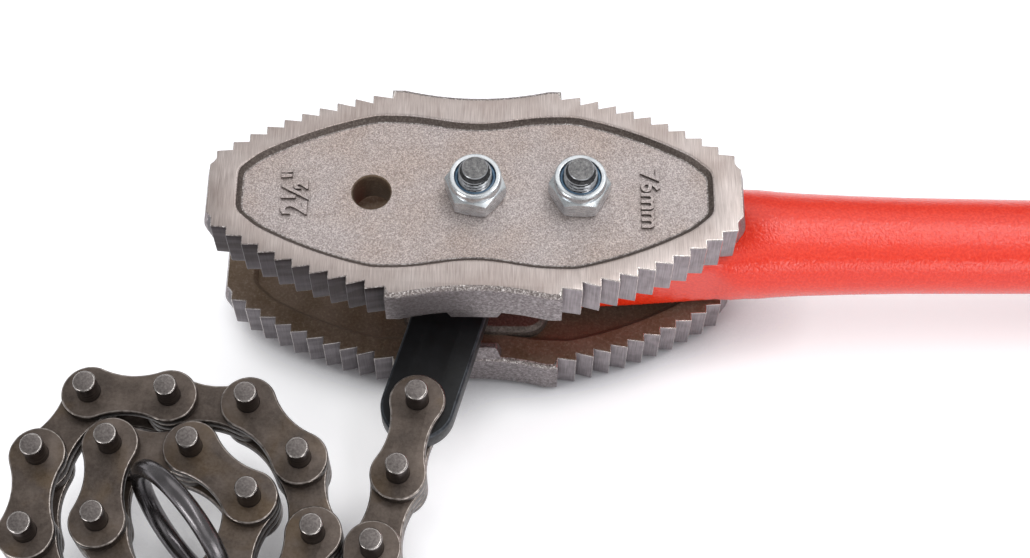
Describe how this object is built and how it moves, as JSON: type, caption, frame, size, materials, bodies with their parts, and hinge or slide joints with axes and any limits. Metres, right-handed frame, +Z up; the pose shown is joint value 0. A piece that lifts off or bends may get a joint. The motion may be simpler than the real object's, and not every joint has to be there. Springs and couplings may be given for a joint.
{
  "type": "chain wrench",
  "caption": "Heavy chain wrench for pipe: two double-ended toothed jaws bolted to a round handle, a swinging shackle and a coiled leaf chain with a pull ring.",
  "frame": {"origin": "centre of the outer face of the centre bolt's head, on the axis that the shackle swings on", "axes": "+X along the tool towards the handle's end, +Z up along the bolts towards the nuts, +Y across the jaws, away from the coiled chain"},
  "size_m": [0.7346, 0.1535, 0.0661],
  "materials": {
    "jaw_steel": "forged steel, brushed on the rims and sand-cast in the recesses",
    "red_paint": "glossy red enamel with a light orange-peel",
    "zinc": "bright zinc plate",
    "nylon": "blue-grey nylon",
    "black_steel": "satin black steel plate",
    "chain_steel": "oiled dark brown-grey steel",
    "ring_steel": "dark shiny steel wire"
  },
  "bodies": {
    "head": {"jaw_upper": "jaw_steel", "jaw_lower": "jaw_steel", "handle": "red_paint", "bolt_centre": "zinc", "bolt_rear": "zinc", "lock_nut_centre": "zinc", "lock_nut_rear": "zinc", "nut_insert_centre": "nylon", "nut_insert_rear": "nylon"},
    "shackle": {"shackle": "black_steel"},
    "link_01": {"outer_link_01": "chain_steel"},
    "link_02": {"inner_plate_02_upper": "chain_steel", "inner_plate_02_lower": "chain_steel"},
    "link_03": {"outer_link_03": "chain_steel"},
    "link_04": {"inner_plate_04_upper": "chain_steel", "inner_plate_04_lower": "chain_steel"},
    "link_05": {"outer_link_05": "chain_steel"},
    "link_06": {"inner_plate_06_upper": "chain_steel", "inner_plate_06_lower": "chain_steel"},
    "link_07": {"outer_link_07": "chain_steel"},
    "link_08": {"inner_plate_08_upper": "chain_steel", "inner_plate_08_lower": "chain_steel"},
    "link_09": {"outer_link_09": "chain_steel"},
    "link_10": {"inner_plate_10_upper": "chain_steel", "inner_plate_10_lower": "chain_steel"},
    "link_11": {"outer_link_11": "chain_steel"},
    "link_12": {"inner_plate_12_upper": "chain_steel", "inner_plate_12_lower": "chain_steel"},
    "link_13": {"outer_link_13": "chain_steel"},
    "link_14": {"inner_plate_14_upper": "chain_steel", "inner_plate_14_lower": "chain_steel"},
    "link_15": {"outer_link_15": "chain_steel"},
    "link_16": {"inner_plate_16_upper": "chain_steel", "inner_plate_16_lower": "chain_steel"},
    "link_17": {"outer_link_17": "chain_steel"},
    "link_18": {"inner_plate_18_upper": "chain_steel", "inner_plate_18_lower": "chain_steel"},
    "link_19": {"outer_link_19": "chain_steel"},
    "link_20": {"inner_plate_20_upper": "chain_steel", "inner_plate_20_lower": "chain_steel"},
    "link_21": {"outer_link_21": "chain_steel"},
    "link_22": {"inner_plate_22_upper": "chain_steel", "inner_plate_22_lower": "chain_steel"},
    "ring": {"pull_ring": "ring_steel"}
  },
  "joints": [
    {"name": "shackle_pivot", "type": "hinge", "parent": "head", "child": "shackle", "pos_m": [0, 0, 0.0299], "axis": [0, 0, 1], "range_deg": [-178, 30]},
    {"name": "link_01_hinge", "type": "hinge", "parent": "shackle", "child": "link_01", "pos_m": [-0.01326, -0.04624, 0.0299], "axis": [0, 0, 1], "range_deg": [-10, 40]},
    {"name": "link_02_hinge", "type": "hinge", "parent": "link_01", "child": "link_02", "pos_m": [-0.01722, -0.06487, 0.0299], "axis": [0, 0, 1], "range_deg": [-10, 40]},
    {"name": "link_03_hinge", "type": "hinge", "parent": "link_02", "child": "link_03", "pos_m": [-0.02247, -0.08318, 0.0299], "axis": [0, 0, 1], "range_deg": [0, 3]},
    {"name": "link_04_hinge", "type": "hinge", "parent": "link_03", "child": "link_04", "pos_m": [-0.02867, -0.10119, 0.0299], "axis": [0, 0, 1], "range_deg": [0, 31]},
    {"name": "link_05_hinge", "type": "hinge", "parent": "link_04", "child": "link_05", "pos_m": [-0.04326, -0.11344, 0.0299], "axis": [0, 0, 1], "range_deg": [0, 26]},
    {"name": "link_06_hinge", "type": "hinge", "parent": "link_05", "child": "link_06", "pos_m": [-0.06175, -0.11805, 0.0299], "axis": [0, 0, 1], "range_deg": [0, 41]},
    {"name": "link_07_hinge", "type": "hinge", "parent": "link_06", "child": "link_07", "pos_m": [-0.07872, -0.1094, 0.0299], "axis": [0, 0, 1], "range_deg": [0, 15]},
    {"name": "link_08_hinge", "type": "hinge", "parent": "link_07", "child": "link_08", "pos_m": [-0.09288, -0.09665, 0.0299], "axis": [0, 0, 1], "range_deg": [0, 19]},
    {"name": "link_09_hinge", "type": "hinge", "parent": "link_08", "child": "link_09", "pos_m": [-0.10211, -0.07999, 0.0299], "axis": [0, 0, 1], "range_deg": [0, 30]},
    {"name": "link_10_hinge", "type": "hinge", "parent": "link_09", "child": "link_10", "pos_m": [-0.10178, -0.06094, 0.0299], "axis": [0, 0, 1], "range_deg": [0, 32]},
    {"name": "link_11_hinge", "type": "hinge", "parent": "link_10", "child": "link_11", "pos_m": [-0.09141, -0.04497, 0.0299], "axis": [0, 0, 1], "range_deg": [0, 59]},
    {"name": "link_12_hinge", "type": "hinge", "parent": "link_11", "child": "link_12", "pos_m": [-0.07237, -0.04563, 0.0299], "axis": [0, 0, 1], "range_deg": [0, 3]},
    {"name": "link_13_hinge", "type": "hinge", "parent": "link_12", "child": "link_13", "pos_m": [-0.05339, -0.04729, 0.0299], "axis": [0, 0, 1], "range_deg": [0, 42]},
    {"name": "link_14_hinge", "type": "hinge", "parent": "link_13", "child": "link_14", "pos_m": [-0.0404, -0.06123, 0.0299], "axis": [0, 0, 1], "range_deg": [0, 30]},
    {"name": "link_15_hinge", "type": "hinge", "parent": "link_14", "child": "link_15", "pos_m": [-0.03611, -0.07979, 0.0299], "axis": [0, 0, 1], "range_deg": [0, 34]},
    {"name": "link_16_hinge", "type": "hinge", "parent": "link_15", "child": "link_16", "pos_m": [-0.04294, -0.09757, 0.0299], "axis": [0, 0, 1], "range_deg": [0, 51]},
    {"name": "link_17_hinge", "type": "hinge", "parent": "link_16", "child": "link_17", "pos_m": [-0.06106, -0.10346, 0.0299], "axis": [0, 0, 1], "range_deg": [0, 47]},
    {"name": "link_18_hinge", "type": "hinge", "parent": "link_17", "child": "link_18", "pos_m": [-0.07772, -0.09422, 0.0299], "axis": [0, 0, 1], "range_deg": [0, 35]},
    {"name": "link_19_hinge", "type": "hinge", "parent": "link_18", "child": "link_19", "pos_m": [-0.08607, -0.0771, 0.0299], "axis": [0, 0, 1], "range_deg": [0, 29]},
    {"name": "link_20_hinge", "type": "hinge", "parent": "link_19", "child": "link_20", "pos_m": [-0.08507, -0.05808, 0.0299], "axis": [0, 0, 1], "range_deg": [0, 89]},
    {"name": "link_21_hinge", "type": "hinge", "parent": "link_20", "child": "link_21", "pos_m": [-0.06604, -0.05874, 0.0299], "axis": [0, 0, 1], "range_deg": [0, 38]},
    {"name": "link_22_hinge", "type": "hinge", "parent": "link_21", "child": "link_22", "pos_m": [-0.05144, -0.07099, 0.0299], "axis": [0, 0, 1], "range_deg": [0, 65]},
    {"name": "ring_swing", "type": "hinge", "parent": "link_22", "child": "ring", "pos_m": [-0.05637, -0.08939, 0.0299], "axis": [0, 0, 1], "range_deg": [0, 62]}
  ],
  "couplings": [
    {"joint": "link_03_hinge", "follows": "link_04_hinge", "ratio": 0.096774},
    {"joint": "link_05_hinge", "follows": "link_04_hinge", "ratio": 0.83871},
    {"joint": "link_06_hinge", "follows": "link_04_hinge", "ratio": 1.3226},
    {"joint": "link_07_hinge", "follows": "link_04_hinge", "ratio": 0.48387},
    {"joint": "link_08_hinge", "follows": "link_04_hinge", "ratio": 0.6129},
    {"joint": "link_09_hinge", "follows": "link_04_hinge", "ratio": 0.96774},
    {"joint": "link_10_hinge", "follows": "link_04_hinge", "ratio": 1.0323},
    {"joint": "link_11_hinge", "follows": "link_04_hinge", "ratio": 1.9032},
    {"joint": "link_12_hinge", "follows": "link_04_hinge", "ratio": 0.096774},
    {"joint": "link_13_hinge", "follows": "link_04_hinge", "ratio": 1.3548},
    {"joint": "link_14_hinge", "follows": "link_04_hinge", "ratio": 0.96774},
    {"joint": "link_15_hinge", "follows": "link_04_hinge", "ratio": 1.0968},
    {"joint": "link_16_hinge", "follows": "link_04_hinge", "ratio": 1.6452},
    {"joint": "link_17_hinge", "follows": "link_04_hinge", "ratio": 1.5161},
    {"joint": "link_18_hinge", "follows": "link_04_hinge", "ratio": 1.129},
    {"joint": "link_19_hinge", "follows": "link_04_hinge", "ratio": 0.93548},
    {"joint": "link_20_hinge", "follows": "link_04_hinge", "ratio": 2.871},
    {"joint": "link_21_hinge", "follows": "link_04_hinge", "ratio": 1.2258},
    {"joint": "link_22_hinge", "follows": "link_04_hinge", "ratio": 2.0968},
    {"joint": "ring_swing", "follows": "link_04_hinge", "ratio": 2}
  ]
}
